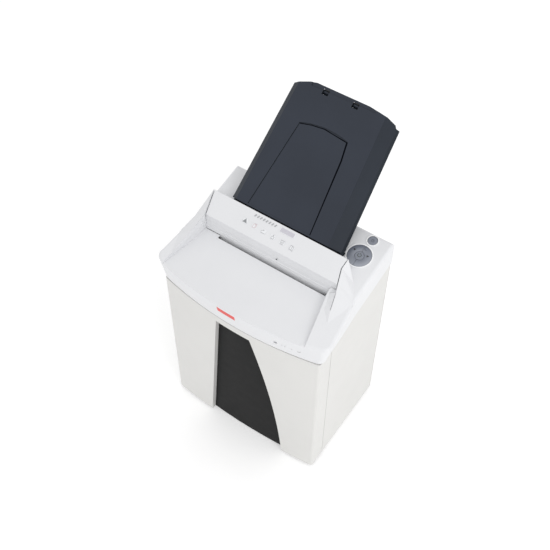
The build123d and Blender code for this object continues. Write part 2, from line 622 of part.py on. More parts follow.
def stripper_comb(shaft_y, side, offset):
    """A bar outside one shaft, with a finger in each gap between its discs."""
    y_bar = shaft_y + side * 26
    y0, y1 = sorted((y_bar - side * 1.5, y_bar + side * 1.5))
    comb = box(-122, 122, y0, y1, 402, 434)
    first = -DISC_PITCH * (DISC_COUNT - 1) / 2 + offset + DISC_PITCH / 2
    reach = shaft_y + side * 13
    f0, f1 = sorted((reach, y_bar))
    for index in range(DISC_COUNT - 1):
        x = first + index * DISC_PITCH
        comb += box(x - 1.8, x + 1.8, f0, f1, 404, 432)
    return comb


# ---------------------------------------------------------------- drive
SYNC_TEETH = 20
SYNC_MODULE = 2.0
MAIN_TEETH = 58
INTER_PINION_TEETH = 14
STAGE_TWO_MODULE = 1.25
INTER_TEETH = 46
MOTOR_TEETH = 12
STAGE_ONE_MODULE = 1.0
STAGE_TWO_GAP = STAGE_TWO_MODULE * (MAIN_TEETH + INTER_PINION_TEETH) / 2
STAGE_ONE_GAP = STAGE_ONE_MODULE * (INTER_TEETH + MOTOR_TEETH) / 2
REACH = MOTOR_Y - SHAFT_REAR_Y
INTER_ALONG = (STAGE_TWO_GAP ** 2 - STAGE_ONE_GAP ** 2 + REACH ** 2) / (2 * REACH)
INTER_Y = SHAFT_REAR_Y + INTER_ALONG
INTER_Z = SHAFT_Z + math.sqrt(STAGE_TWO_GAP ** 2 - INTER_ALONG ** 2)


def meshing_turn(teeth, towards):
    """Phase that puts a gap of this gear on the line towards its partner's tooth."""
    return towards + 180.0 / teeth


def make_drive():
    y0 = SHAFT_FRONT_Y
    y1 = SHAFT_REAR_Y
    keep("sync_gear_rear", gear(133, 141, y1, SHAFT_Z, SYNC_TEETH, SYNC_MODULE, 0.0, 6.0))
    turn = meshing_turn(SYNC_TEETH, 0.0)
    keep("sync_gear_front", gear(133, 141, y0, SHAFT_Z, SYNC_TEETH, SYNC_MODULE, turn, 6.0))
    bearing_two = math.degrees(math.atan2(INTER_Z - SHAFT_Z, INTER_Y - y1))
    main = gear(146, 153, y1, SHAFT_Z, MAIN_TEETH, STAGE_TWO_MODULE, bearing_two, 6.0)
    keep("main_gear", main)
    pinion_turn = meshing_turn(INTER_PINION_TEETH, bearing_two + 180)
    pinion = gear(145, 154, INTER_Y, INTER_Z, INTER_PINION_TEETH, STAGE_TWO_MODULE, pinion_turn)
    bearing_one = math.degrees(math.atan2(SHAFT_Z - INTER_Z, MOTOR_Y - INTER_Y))
    wheel = gear(157, 162, INTER_Y, INTER_Z, INTER_TEETH, STAGE_ONE_MODULE, bearing_one)
    shaft = rod(124, 166.6, INTER_Y, INTER_Z, 3.95)
    keep("reduction_gear", pinion + wheel + shaft)
    motor_turn = meshing_turn(MOTOR_TEETH, bearing_one + 180)
    keep("motor_pinion", gear(156, 163, MOTOR_Y, SHAFT_Z, MOTOR_TEETH, STAGE_ONE_MODULE, motor_turn, 3.0))
    keep("motor_rotor", rod(-92, 164, MOTOR_Y, SHAFT_Z, 3.0) + rod(-50, 90, MOTOR_Y, SHAFT_Z, 17.0))
    can = tube(-60, 100, MOTOR_Y, SHAFT_Z, 25.0, 22.5) + tube(98, 102, MOTOR_Y, SHAFT_Z, 25.0, 3.05)
    can += tube(-62, -58, MOTOR_Y, SHAFT_Z, 25.0, 3.05)
    for x in (-50, 84):
        foot = box(x, x + 10, MOTOR_Y - 22, MOTOR_Y + 22, 384, 402)
        can += foot - rod(x - 1, x + 11, MOTOR_Y, SHAFT_Z, 24.0)
    keep("motor_housing", can)
    fan = tube(-84, -70, MOTOR_Y, SHAFT_Z, 6.0, 3.0)
    for blade in range(7):
        paddle = Pos(-77, MOTOR_Y, SHAFT_Z) * Rot(blade * 360 / 7, 0, 0) * Pos(0, 0, 12.5) * Rot(0, 0, 35)
        fan += paddle * Box(12, 1.4, 16)
    keep("cooling_fan", fan)
    cover = side_prism([(70, 386), (222, 386), (222, 462), (100, 462), (70, 440)], 166.8, 168.8)
    cover -= rod(160, 172, INTER_Y, INTER_Z, 4.0)
    keep("gear_cover", cover + box(131.2, 167, 214, 220, 388, 396) + box(131.2, 167, 214, 220, 440, 448))
    for name, y, z in (("cutter_pulley", y1, SHAFT_Z), ("feed_pulley", FEED_Y, FEED_Z)):
        bore = 6.0 if name == "cutter_pulley" else 4.0
        keep(name, tube(-143, -135, y, z, 12.0, bore))
    keep("feed_belt", belt(-142, -136, (y1, SHAFT_Z), (FEED_Y, FEED_Z), 12.3, 1.6))


def belt(x0, x1, start, end, radius, thickness):
    """A flat belt round two equal pulleys."""
    span = math.dist(start, end)
    lean = math.degrees(math.atan2(end[1] - start[1], end[0] - start[0]))
    middle = ((start[0] + end[0]) / 2, (start[1] + end[1]) / 2)
    plane = Plane(origin=(x0, *middle), x_dir=(0, 1, 0), z_dir=(1, 0, 0))
    loop = SlotCenterToCenter(span, 2 * (radius + thickness)) - SlotCenterToCenter(span, 2 * radius)
    return extrude(plane * Rot(0, 0, lean) * loop, x1 - x0)


# ---------------------------------------------------------------- electrics and infeed
def make_electrics():
    inlet = box(-133.6, -106.4, CABINET_DEPTH - 18, CABINET_DEPTH + 0.6, 54.4, 74.6)
    inlet -= box(-131, -109, CABINET_DEPTH - 14, CABINET_DEPTH + 5, 57, 72)
    for x in (-126, -120, -114):
        inlet += box(x - 1, x + 1, CABINET_DEPTH - 15, CABINET_DEPTH - 4, 62, 67)
    keep("mains_inlet", inlet)
    frame = box(-95.6, -78.4, CABINET_DEPTH - 14, CABINET_DEPTH + 0.8, 54.4, 81.6)
    frame -= box(-93, -81, CABINET_DEPTH - 12, CABINET_DEPTH + 5, 57, 79)
    keep("switch_frame", frame)
    rocker = side_prism([(CABINET_DEPTH - 9, 68), (CABINET_DEPTH + 2.4, 59.6), (CABINET_DEPTH + 0.6, 68),
                         (CABINET_DEPTH - 1.4, 77)], -92.5, -81.5)
    keep("mains_rocker", rocker)
    supply = fillet(box(-170, -146, 160, 226, 384, 430).edges().filter_by(Axis.Z), 3)
    keep("power_supply", supply)
    sensors = [box(-6, 6, 88, 96, 440.4, 448), box(-6, 6, 109, 115, 443, 455)]
    keep("paper_sensors", *sensors)
    interlock = box(152, 164, 46, 60, 384, 398)
    keep("container_switch", interlock)


make_cabinet()
make_head()
make_hood()
make_fascia_parts()
make_controls()
make_container()
make_lid()
make_tray()
make_feed_rollers()
make_cutting_block()
make_drive()
make_electrics()

for node, solids in NODES.items():
    pieces = [piece for solid in solids for piece in solid.solids()]
    shape = pieces[0] if len(pieces) == 1 else Compound(children=pieces)
    export_step(shape, f"parts/{node}.step")
print(len(NODES), "nodes")
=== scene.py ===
"""Looks of the autofeed paper shredder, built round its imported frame. Metres, +Z up, +Y to the back."""
import json
import math

import bmesh
import bpy
from mathutils import Matrix, Vector


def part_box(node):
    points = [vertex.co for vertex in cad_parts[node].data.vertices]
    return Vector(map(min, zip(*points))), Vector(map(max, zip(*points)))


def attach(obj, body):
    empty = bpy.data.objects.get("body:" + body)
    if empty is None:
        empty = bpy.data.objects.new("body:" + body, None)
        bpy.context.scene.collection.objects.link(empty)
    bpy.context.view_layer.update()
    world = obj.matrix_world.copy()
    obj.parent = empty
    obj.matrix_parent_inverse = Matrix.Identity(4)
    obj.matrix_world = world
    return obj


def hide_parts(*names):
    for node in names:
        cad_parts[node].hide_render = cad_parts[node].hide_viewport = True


MM = 0.001
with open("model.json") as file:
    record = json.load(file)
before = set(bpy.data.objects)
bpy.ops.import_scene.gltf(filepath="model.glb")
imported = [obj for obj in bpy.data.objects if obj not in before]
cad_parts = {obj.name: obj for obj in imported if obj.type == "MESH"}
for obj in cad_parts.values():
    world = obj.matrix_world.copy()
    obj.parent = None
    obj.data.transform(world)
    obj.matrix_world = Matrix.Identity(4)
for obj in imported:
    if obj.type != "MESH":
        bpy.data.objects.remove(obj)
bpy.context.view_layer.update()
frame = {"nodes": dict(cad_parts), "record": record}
nodes = frame["nodes"]

# ---------------------------------------------------------------- camera
CAMERA_PLACE = Vector((0.5931, -0.93221, 1.7702))
CAMERA_AZIMUTH = math.radians(34.1)
CAMERA_ELEVATION = math.radians(52.1)
CAMERA_ROLL = math.radians(0.6)
CAMERA_LENS = 59.8


def make_camera():
    """A camera above the machine's front right corner, looking down at its head."""
    level = Vector((-math.sin(CAMERA_AZIMUTH), math.cos(CAMERA_AZIMUTH), 0))
    ahead = level * math.cos(CAMERA_ELEVATION) - Vector((0, 0, math.sin(CAMERA_ELEVATION)))
    right = Vector((math.cos(CAMERA_AZIMUTH), math.sin(CAMERA_AZIMUTH), 0))
    above = right.cross(ahead)
    turned_right = right * math.cos(CAMERA_ROLL) + above * math.sin(CAMERA_ROLL)
    turned_up = above * math.cos(CAMERA_ROLL) - right * math.sin(CAMERA_ROLL)
    data = bpy.data.cameras.new("camera")
    data.lens = CAMERA_LENS
    data.sensor_width = 36.0
    camera = bpy.data.objects.new("camera", data)
    turn = Matrix((turned_right, turned_up, -ahead)).transposed().to_4x4()
    camera.matrix_world = Matrix.Translation(CAMERA_PLACE) @ turn
    bpy.context.scene.collection.objects.link(camera)
    bpy.context.scene.camera = camera


# ---------------------------------------------------------------- materials
SHELL_ROUNDING = 0.8 * MM
KEY_ROUNDING = 0.6 * MM
LID_ROUNDING = 0.9 * MM
# the way the key crowns face where their painted highlight is palest
KEY_FRONT = (0.55, -0.75, 0.0)
LID_TOP = (0.0, -0.6347, 0.7727)        # the way the shut lid's flat top faces; the lid's painted light and shade is set against it


def new_material(name):
    """A new node material, with its node tree and its shader."""
    material = bpy.data.materials.new(name)
    material.use_nodes = True
    tree = material.node_tree
    shader = tree.nodes["Principled BSDF"]
    return material, tree, shader


def add(tree, kind, **values):
    """A node with its plain properties set."""
    node = tree.nodes.new(kind)
    for key, value in values.items():
        setattr(node, key, value)
    return node


def noise(tree, scale, detail=3.0, stretch=(1, 1, 1)):
    """Noise over the object's own coordinates, in metres."""
    place = add(tree, "ShaderNodeTexCoord")
    mapping = add(tree, "ShaderNodeMapping")
    mapping.inputs["Scale"].default_value = stretch
    tree.links.new(place.outputs["Object"], mapping.inputs["Vector"])
    texture = add(tree, "ShaderNodeTexNoise")
    texture.inputs["Scale"].default_value = scale
    texture.inputs["Detail"].default_value = detail
    tree.links.new(mapping.outputs["Vector"], texture.inputs["Vector"])
    return texture


def ramp(tree, source, low, high, positions=(0.35, 0.65)):
    """A two-colour ramp over a noise value."""
    node = add(tree, "ShaderNodeValToRGB")
    node.color_ramp.elements[0].position = positions[0]
    node.color_ramp.elements[1].position = positions[1]
    node.color_ramp.elements[0].color = (*low, 1)
    node.color_ramp.elements[1].color = (*high, 1)
    tree.links.new(source, node.inputs["Fac"])
    return node


def spread(tree, source, low, high):
    """Maps a 0 to 1 value onto low to high."""
    node = add(tree, "ShaderNodeMapRange")
    node.inputs["To Min"].default_value = low
    node.inputs["To Max"].default_value = high
    tree.links.new(source, node.inputs["Value"])
    return node


def shade(colour, factor):
    """A colour made darker or lighter."""
    return tuple(channel * factor for channel in colour)


def rounded_edge(tree, radius):
    """The surface normal with its edges softened over a radius in metres."""
    edge = add(tree, "ShaderNodeBevel", samples=6)
    edge.inputs["Radius"].default_value = radius
    return edge.outputs["Normal"]


def grain_bump(tree, height, strength, distance=0.0002):
    """Fine relief from a noise value; its Normal input may take a softened edge."""
    bump = add(tree, "ShaderNodeBump")
    bump.inputs["Strength"].default_value = strength
    bump.inputs["Distance"].default_value = distance
    tree.links.new(height, bump.inputs["Height"])
    return bump


def moulded(name, colour, roughness, grain=2600, depth=0.06, variation=0.03, gleam=0.5):
    """Injection-moulded plastic: spark-eroded grain, a slight cloudiness and softly rounded edges."""
    material, tree, shader = new_material(name)
    shader.inputs["Specular IOR Level"].default_value = gleam
    cloud = noise(tree, 14, 4)
    tint = ramp(tree, cloud.outputs["Fac"], shade(colour, 1 - variation), shade(colour, 1 + variation))
    tree.links.new(tint.outputs["Color"], shader.inputs["Base Color"])
    gloss = spread(tree, noise(tree, 60, 5).outputs["Fac"], roughness - 0.06, roughness + 0.06)
    tree.links.new(gloss.outputs["Result"], shader.inputs["Roughness"])
    bump = grain_bump(tree, noise(tree, grain, 2).outputs["Fac"], depth)
    tree.links.new(rounded_edge(tree, SHELL_ROUNDING), bump.inputs["Normal"])
    tree.links.new(bump.outputs["Normal"], shader.inputs["Normal"])
    return material


def facing(tree, direction):
    """How far the surface faces a fixed direction of the scene, from -1 to 1."""
    face = add(tree, "ShaderNodeNewGeometry")
    dot = add(tree, "ShaderNodeVectorMath", operation="DOT_PRODUCT")
    dot.inputs[1].default_value = direction
    tree.links.new(face.outputs["Normal"], dot.inputs[0])
    return dot.outputs["Value"]


def turned_to(tree, direction, low, high):
    """A colour between low and high, by how far the surface faces a direction of the scene; it paints light
    and shade.
    """
    return ramp(tree, facing(tree, direction), low, high, (0.0, 1.0))


def key_plastic(name, dark, light):
    """Satin key plastic with painted light and shade: paler towards the front of its crown, darker away from
    it.
    """
    material, tree, shader = new_material(name)
    tint = turned_to(tree, KEY_FRONT, dark, light)
    tint.color_ramp.elements[1].position = 0.45
    tree.links.new(tint.outputs["Color"], shader.inputs["Base Color"])
    gloss = spread(tree, noise(tree, 80, 4).outputs["Fac"], 0.26, 0.36)
    tree.links.new(gloss.outputs["Result"], shader.inputs["Roughness"])
    tree.links.new(rounded_edge(tree, KEY_ROUNDING), shader.inputs["Normal"])
    return material


def lid_plastic(name, top, flank, wall):
    """Textured lid plastic with painted light and shade: bluer and darker on the sloping flanks than on the
    top, and dull on the side walls, by how far each face turns from the lid's top.
    """
    material, tree, shader = new_material(name)
    # painted sheen: the reflection fades where the surface turns away from the lid's top
    sheen = spread(tree, facing(tree, LID_TOP), 0.0, 0.3)
    sheen.inputs["From Min"].default_value = 0.3
    sheen.inputs["From Max"].default_value = 0.9
    tree.links.new(sheen.outputs["Result"], shader.inputs["Specular IOR Level"])
    # painted shade: top, flank and wall colours by how far the surface faces the lid's top
    tint = turned_to(tree, LID_TOP, flank, top)
    tint.color_ramp.elements[0].position = 0.945
    tint.color_ramp.elements[1].position = 0.985
    tint.color_ramp.elements.new(0.4).color = (*wall, 1)
    cloud = ramp(tree, noise(tree, 9, 4).outputs["Fac"], (0.93, 0.93, 0.93), (1.07, 1.07, 1.07))
    mixed = add(tree, "ShaderNodeMix", data_type="RGBA", blend_type="MULTIPLY")
    mixed.inputs["Factor"].default_value = 1.0
    tree.links.new(tint.outputs["Color"], mixed.inputs[6])
    tree.links.new(cloud.outputs["Color"], mixed.inputs[7])
    tree.links.new(mixed.outputs[2], shader.inputs["Base Color"])
    gloss = spread(tree, noise(tree, 60, 5).outputs["Fac"], 0.36, 0.48)
    tree.links.new(gloss.outputs["Result"], shader.inputs["Roughness"])
    bump = grain_bump(tree, noise(tree, 2200, 2).outputs["Fac"], 0.12)
    tree.links.new(rounded_edge(tree, LID_ROUNDING), bump.inputs["Normal"])
    tree.links.new(bump.outputs["Normal"], shader.inputs["Normal"])
    return material


def metal(name, colour, roughness, brush=(1, 1, 1), scale=900, depth=0.05):
    """Machined or drawn metal with fine directional marks."""
    material, tree, shader = new_material(name)
    shader.inputs["Metallic"].default_value = 1.0
    marks = noise(tree, scale, 4, brush)
    tint = ramp(tree, marks.outputs["Fac"], shade(colour, 0.86), shade(colour, 1.08))
    tree.links.new(tint.outputs["Color"], shader.inputs["Base Color"])
    gloss = spread(tree, marks.outputs["Fac"], roughness - 0.08, roughness + 0.1)
    tree.links.new(gloss.outputs["Result"], shader.inputs["Roughness"])
    bump = grain_bump(tree, marks.outputs["Fac"], depth)
    tree.links.new(bump.outputs["Normal"], shader.inputs["Normal"])
    return material


def rubber(name, colour):
    """Matt rubber with a dusty bloom."""
    material, tree, shader = new_material(name)
    dust = noise(tree, 120, 6)
    tint = ramp(tree, dust.outputs["Fac"], colour, shade(colour, 1.7), (0.45, 0.75))
    tree.links.new(tint.outputs["Color"], shader.inputs["Base Color"])
    shader.inputs["Roughness"].default_value = 0.85
    bump = grain_bump(tree, noise(tree, 1400, 3).outputs["Fac"], 0.15, 0.0003)
    tree.links.new(bump.outputs["Normal"], shader.inputs["Normal"])
    return material


def ink(name, colour, roughness=0.45, gleam=0.5):
    """Pad-printed ink, also laid as films of painted shade: slightly uneven coverage."""
    material, tree, shader = new_material(name)
    shader.inputs["Specular IOR Level"].default_value = gleam
    cover = noise(tree, 700, 3)
    tint = ramp(tree, cover.outputs["Fac"], shade(colour, 0.94), shade(colour, 1.06))
    tree.links.new(tint.outputs["Color"], shader.inputs["Base Color"])
    shader.inputs["Roughness"].default_value = roughness
    return material


def circuit(name):
    """Green solder resist with lighter copper runs below it."""
    material, tree, shader = new_material(name)
    place = add(tree, "ShaderNodeTexCoord")
    runs = add(tree, "ShaderNodeTexBrick")
    runs.inputs["Scale"].default_value = 260
    runs.inputs["Color1"].default_value = (0.01, 0.10, 0.035, 1)
    runs.inputs["Color2"].default_value = (0.015, 0.13, 0.045, 1)
    runs.inputs["Mortar"].default_value = (0.05, 0.24, 0.09, 1)
    tree.links.new(place.outputs["Object"], runs.inputs["Vector"])
    tree.links.new(runs.outputs["Color"], shader.inputs["Base Color"])
    shader.inputs["Roughness"].default_value = 0.3
    return material


HEAD_WHITE = (0.745, 0.75, 0.768)
CABINET_WHITE = (0.685, 0.68, 0.663)
# one lid plastic as lit and shaded copies: the top, the flanks in painted shade, the side walls
LID_TOP_GREY = (0.026, 0.032, 0.046)
LID_FLANK_PAINTED_SHADE = (0.011, 0.0165, 0.027)
LID_WALL_GREY = (0.033, 0.038, 0.046)
MATERIALS = {
    "shell_white": moulded("shell_white", HEAD_WHITE, 0.42, variation=0.008),
    "cabinet_white": moulded("cabinet_white", CABINET_WHITE, 0.45, variation=0.01),
    "container_white": moulded("container_white", CABINET_WHITE, 0.43, variation=0.01),
    "anthracite": lid_plastic("anthracite", LID_TOP_GREY, LID_FLANK_PAINTED_SHADE, LID_WALL_GREY),
    "window_dark": moulded("window_dark", (0.012, 0.012, 0.0123), 0.5, 1500, 0.08, 0.05, gleam=0.06),
    "key_grey": key_plastic("key_grey", (0.15, 0.165, 0.205), (0.36, 0.38, 0.43)),
    "bezel_bright": moulded("bezel_bright", (0.93, 0.935, 0.95), 0.2, variation=0.01, gleam=0.8),
    "badge_red": ink("badge_red", (0.75, 0.03, 0.02), 0.35),
    "lens": moulded("lens", (0.80, 0.81, 0.83), 0.25, depth=0.02, variation=0.005),
    "black_plastic": moulded("black_plastic", (0.012, 0.012, 0.013), 0.45, depth=0.1),
    "bin_grey": moulded("bin_grey", (0.10, 0.105, 0.11), 0.5, depth=0.1, variation=0.05),
    "steel": metal("steel", (0.56, 0.56, 0.57), 0.32, brush=(0.2, 6, 6)),
    "hard_steel": metal("hard_steel", (0.36, 0.36, 0.37), 0.38, brush=(6, 1, 1)),
    "zinc_sheet": metal("zinc_sheet", (0.58, 0.60, 0.62), 0.42, scale=60),
    "gear_plastic": moulded("gear_plastic", (0.62, 0.60, 0.52), 0.4, variation=0.03),
    "rubber_black": rubber("rubber_black", (0.018, 0.018, 0.019)),
    "board_green": circuit("board_green"),
    "motor_paint": moulded("motor_paint", (0.035, 0.035, 0.038), 0.35, grain=900, depth=0.05),
    "brass_bush": metal("brass_bush", (0.62, 0.45, 0.20), 0.35),
    "steel_gear": metal("steel_gear", (0.45, 0.45, 0.46), 0.34),
}

INKS = {
    "mark_mid": ink("mark_mid", (0.27, 0.28, 0.29)),
    "mark_pale": ink("mark_pale", (0.44, 0.445, 0.46)),
    "mark_rose": ink("mark_rose", (0.60, 0.48, 0.50)),
    "mark_strip": ink("mark_strip", (0.42, 0.425, 0.44)),
    "mark_soft": ink("mark_soft", (0.50, 0.50, 0.51)),
    "mark_dark": ink("mark_dark", (0.03, 0.03, 0.035)),
    "mark_deep": ink("mark_deep", (0.10, 0.11, 0.14)),
    # painted shade: the near-black film in the groove round the lid's panel
    "joint_painted_shade": ink("joint_painted_shade", (0.003, 0.004, 0.006), 0.9, gleam=0.0),
    "lilac": ink("lilac", (0.56, 0.55, 0.60)),
    "green_grey": ink("green_grey", (0.045, 0.06, 0.05)),
}


def paint(piece, material):
    """Gives a piece one material."""
    piece.data.materials.clear()
    piece.data.materials.append(material)


def paint_nodes():
    """Gives each CAD node the material of its slot."""
    for row in frame["record"]["subparts"]:
        paint(nodes[row["node"]], MATERIALS[row["material_slot"]])


# ---------------------------------------------------------------- pieces
def middle(low, high):
    """The middle of a box."""
    return (low + high) / 2


def build_piece(name, shape, material, body):
    """Turns a built shape into a painted piece that rides on a body."""
    bmesh.ops.recalc_face_normals(shape, faces=shape.faces)
    mesh = bpy.data.meshes.new(name)
    shape.to_mesh(mesh)
    shape.free()
    piece = bpy.data.objects.new(name, mesh)
    bpy.context.scene.collection.objects.link(piece)
    paint(piece, material)
    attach(piece, body)


SAME_POINT = 0.01 * MM
FLAT_ANGLE = math.radians(0.6)
CREASE_ANGLE = math.radians(24)


def refine(node, body):
    """A CAD shell with its flat faces made whole again, so that long faces shade evenly."""
    source = nodes[node]
    mesh = source.data.copy()
    shell = bmesh.new()
    shell.from_mesh(mesh)
    bmesh.ops.remove_doubles(shell, verts=shell.verts, dist=SAME_POINT)
    bmesh.ops.dissolve_limit(shell, angle_limit=FLAT_ANGLE, verts=shell.verts, edges=shell.edges)
    for face in shell.faces:
        face.smooth = True
    shell.to_mesh(mesh)
    shell.free()
    mesh.set_sharp_from_angle(angle=CREASE_ANGLE)
    piece = bpy.data.objects.new(node + "_moulding", mesh)
    paint(piece, source.data.materials[0])
    bpy.context.scene.collection.objects.link(piece)
    even = piece.modifiers.new("even_shading", "WEIGHTED_NORMAL")
    even.keep_sharp = True
    even.weight = 100
    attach(piece, body)
    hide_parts(node)


# ---------------------------------------------------------------- printed marks
def bar(x0, y0, x1, y1, width):
    """A straight stroke, as a four-point outline."""
    along = Vector((x1 - x0, y1 - y0)).normalized()
    across = Vector((-along.y, along.x)) * width / 2
    start, end = Vector((x0, y0)), Vector((x1, y1))
    return [start + across, end + across, end - across, start - across]


def arc(x, y, radius, width, start, end, steps=20):
    """A curved stroke between two angles in degrees."""
    outline = []
    for reach, order in ((radius + width / 2, 1), (radius - width / 2, -1)):
        for step in range(steps + 1)[::order]:
            angle = math.radians(start + (end - start) * step / steps)
            outline.append(Vector((x + reach * math.cos(angle), y + reach * math.sin(angle))))
    return outline


def spot(x, y, radius, steps=24):
    """A filled disc."""
    outline = []
    for step in range(steps):
        angle = 2 * math.pi * step / steps
        outline.append(Vector((x + radius * math.cos(angle), y + radius * math.sin(angle))))
    return outline


def box_strokes(x0, y0, x1, y1, width):
    """Four strokes round a rectangle."""
    half = width / 2
    return [bar(x0 - half, y0, x1 + half, y0, width), bar(x0 - half, y1, x1 + half, y1, width),
            bar(x0, y0 + half, x0, y1 - half, width), bar(x1, y0 + half, x1, y1 - half, width)]


def warning_sign():
    """A filled triangle."""
    return [[Vector((-4.2, -3.4)), Vector((4.2, -3.4)), Vector((0, 3.8))]]


def too_many_sheets():
    """A sheet with the edges of another behind it."""
    sheet = box_strokes(-2.6, -3.2, 1.8, 2.6, 0.7)
    return sheet + [bar(-1.2, 3.6, 3.2, 3.6, 0.7), bar(3.2, 3.9, 3.2, -2.2, 0.7)]


def lift_lid():
    """A ground line and a curved arrow rising from it."""
    arrow_head = [Vector((-1.2, 2.9)), Vector((-1.6, 0.3)), Vector((0.9, 1.7))]
    return [arc(0.6, -2.6, 4.6, 0.8, 100, 170), bar(-3.8, -3.2, 3.8, -3.2, 0.8), arrow_head]


def sheet_in():
    """A sheet with an arrow down to it."""
    arrow_head = [Vector((-1.3, 2.3)), Vector((1.3, 2.3)), Vector((0, 0.9))]
    return box_strokes(-2.2, -3.4, 2.2, 0.6, 0.7) + [bar(0, 4.0, 0, 1.9, 0.8), arrow_head]


def full_bin():
    """A tapered bin with a lid and two ribs."""
    bin_wall = [bar(-2.8, 2.0, -2.0, -3.4, 0.7),
                bar(2.8, 2.0, 2.0, -3.4, 0.7),
                bar(-2.2, -3.4, 2.2, -3.4, 0.7)]
    bin_lid = [bar(-3.6, 2.8, 3.6, 2.8, 0.9)]
    return bin_wall + bin_lid + [bar(-0.9, 1.2, -0.7, -2.2, 0.6), bar(0.9, 1.2, 0.7, -2.2, 0.6)]


def open_door():
    """A doorway with its door standing open."""
    door = [bar(0.4, 3.4, 3.2, 2.0, 0.7), bar(3.2, 2.0, 3.2, -4.6, 0.7), bar(0.4, -3.4, 3.2, -4.6, 0.7)]
    return box_strokes(-3.0, -3.4, 0.4, 3.4, 0.7) + door


def power_sign():
    """A ring open at the top, with a stroke in the gap."""
    return [arc(0, 0, 3.4, 1.2, -235, 55), bar(0, 1.6, 0, 4.9, 1.2)]


def print_flat(name, strokes, place, turn, body, material, lift=0.02 * MM, thickness=0.12 * MM):
    """Strokes in millimetres, laid as a thin film in the plane that turn gives, round place."""
    film = bmesh.new()
    for outline in strokes:
        flat = [Vector((point.x * MM, point.y * MM, lift)) for point in outline]
        above = Vector((0, 0, thickness))
        low = [film.verts.new(place + turn @ point) for point in flat]
        high = [film.verts.new(place + turn @ (point + above)) for point in flat]
        film.faces.new(high)
        film.faces.new(low[::-1])
        for k in range(len(outline)):
            after = (k + 1) % len(outline)
            film.faces.new((low[k], low[after], high[after], high[k]))
    build_piece(name, film, material, body)


def tilt(angle):
    """A turn about X that lays a plan drawing into a surface sloping up to the back."""
    return Matrix.Rotation(angle, 3, "X")


# ---------------------------------------------------------------- light and floor
def soft_light(name, place, aim, size, power):
    """A white rectangular soft box facing a point."""
    data = bpy.data.lights.new(name, "AREA")
    data.shape = "RECTANGLE"
    data.size, data.size_y = size
    data.energy = power
    light = bpy.data.objects.new(name, data)
    direction = Vector(aim) - Vector(place)
    light.matrix_world = Matrix.Translation(place) @ direction.to_track_quat("-Z", "Y").to_matrix().to_4x4()
    bpy.context.scene.collection.objects.link(light)


FLOOR_SIZE = 14
FLOOR_WHITES = ((0.77, 0.77, 0.77), (0.79, 0.79, 0.79))
FLOOR_GLOW = 0.31
SURROUND_BRIGHTNESS = 0.87
LIGHT_AIM = (0, 0, 0.4)
SOFT_BOXES = (
    ("key_box", (1.7, -1.1, 1.9), (1.2, 1.2), 13),
    ("top_box", (-0.2, 0.2, 2.6), (1.8, 1.8), 3),
    ("side_box", (2.3, 0.4, 1.1), (1.2, 1.4), 2.5),
)


def make_studio():
    """A white floor, a bright surround and three large soft boxes."""
    bpy.ops.mesh.primitive_plane_add(size=FLOOR_SIZE, location=(0, 0, 0))
    floor = bpy.context.object
    floor.name = "floor"
    material, tree, shader = new_material("floor_paper")
    tint = ramp(tree, noise(tree, 3, 3).outputs["Fac"], *FLOOR_WHITES)
    tree.links.new(tint.outputs["Color"], shader.inputs["Base Color"])
    shader.inputs["Roughness"].default_value = 0.9
    shader.inputs["Specular IOR Level"].default_value = 0.1
    shader.inputs["Emission Color"].default_value = (1, 1, 1, 1)
    shader.inputs["Emission Strength"].default_value = FLOOR_GLOW
    paint(floor, material)
    world = bpy.data.worlds.new("studio")
    world.use_nodes = True
    background = world.node_tree.nodes["Background"]
    background.inputs["Color"].default_value = (1, 1, 1, 1)
    background.inputs["Strength"].default_value = SURROUND_BRIGHTNESS
    bpy.context.scene.world = world
    for name, place, size, power in SOFT_BOXES:
        soft_light(name, place, LIGHT_AIM, size, power)
    view = bpy.context.scene.view_settings
    view.view_transform = "Standard"
    view.look = "None"
    view.exposure = 0.0


# ---------------------------------------------------------------- pieces of the lid
LID_SLOPE = math.radians(39.4)
PIN_HALF = 10.4 * MM                    # half the length of a hinge pin
BLIND_HALF_WIDTH = 6.3 * MM
BLIND_INNER_RADIUS = 5.2 * MM
BLIND_OUTER_RADIUS = 6.0 * MM
BLIND_START = -8                        # degrees round the pin
BLIND_SWEEP = 70
BLIND_STEPS = 8
PANEL_FROM_HINGE = Vector((15, -247, 9)) * MM   # the joint's drawing, from the middle of the hinge line
WIDE_JOINT = 2.8
JOINT_SINK = -0.79 * MM


def hinge_blinds():
    """A curved blind behind each hinge knuckle, turning with the lid, that closes its notch; its black is
    painted shade for the dark inside of the notch.
    """
    low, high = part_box("lid_hinge_pins")
    turn = tilt(LID_SLOPE)
    corners = ((-BLIND_HALF_WIDTH, BLIND_INNER_RADIUS), (BLIND_HALF_WIDTH, BLIND_INNER_RADIUS),
               (BLIND_HALF_WIDTH, BLIND_OUTER_RADIUS), (-BLIND_HALF_WIDTH, BLIND_OUTER_RADIUS))
    for index, x in enumerate((low.x + PIN_HALF, high.x - PIN_HALF)):
        line = Vector((x, middle(low, high).y, middle(low, high).z))
        blind = bmesh.new()
        rings = []
        for step in range(BLIND_STEPS + 1):
            angle = math.radians(BLIND_START + BLIND_SWEEP * step / BLIND_STEPS)
            along = Vector((0, math.cos(angle), math.sin(angle)))
            ring = [Vector((side, 0, 0)) + along * reach for side, reach in corners]
            rings.append([blind.verts.new(line + turn @ point) for point in ring])
        for near, far in zip(rings, rings[1:]):
            for k in range(4):
                after = (k + 1) % 4
                blind.faces.new((near[k], near[after], far[after], far[k]))
        blind.faces.new(rings[0][::-1])
        blind.faces.new(rings[-1])
        # black plastic here is painted shade in the notch
        build_piece("hinge_blind_%d" % (index + 1), blind, MATERIALS["black_plastic"], "lid")


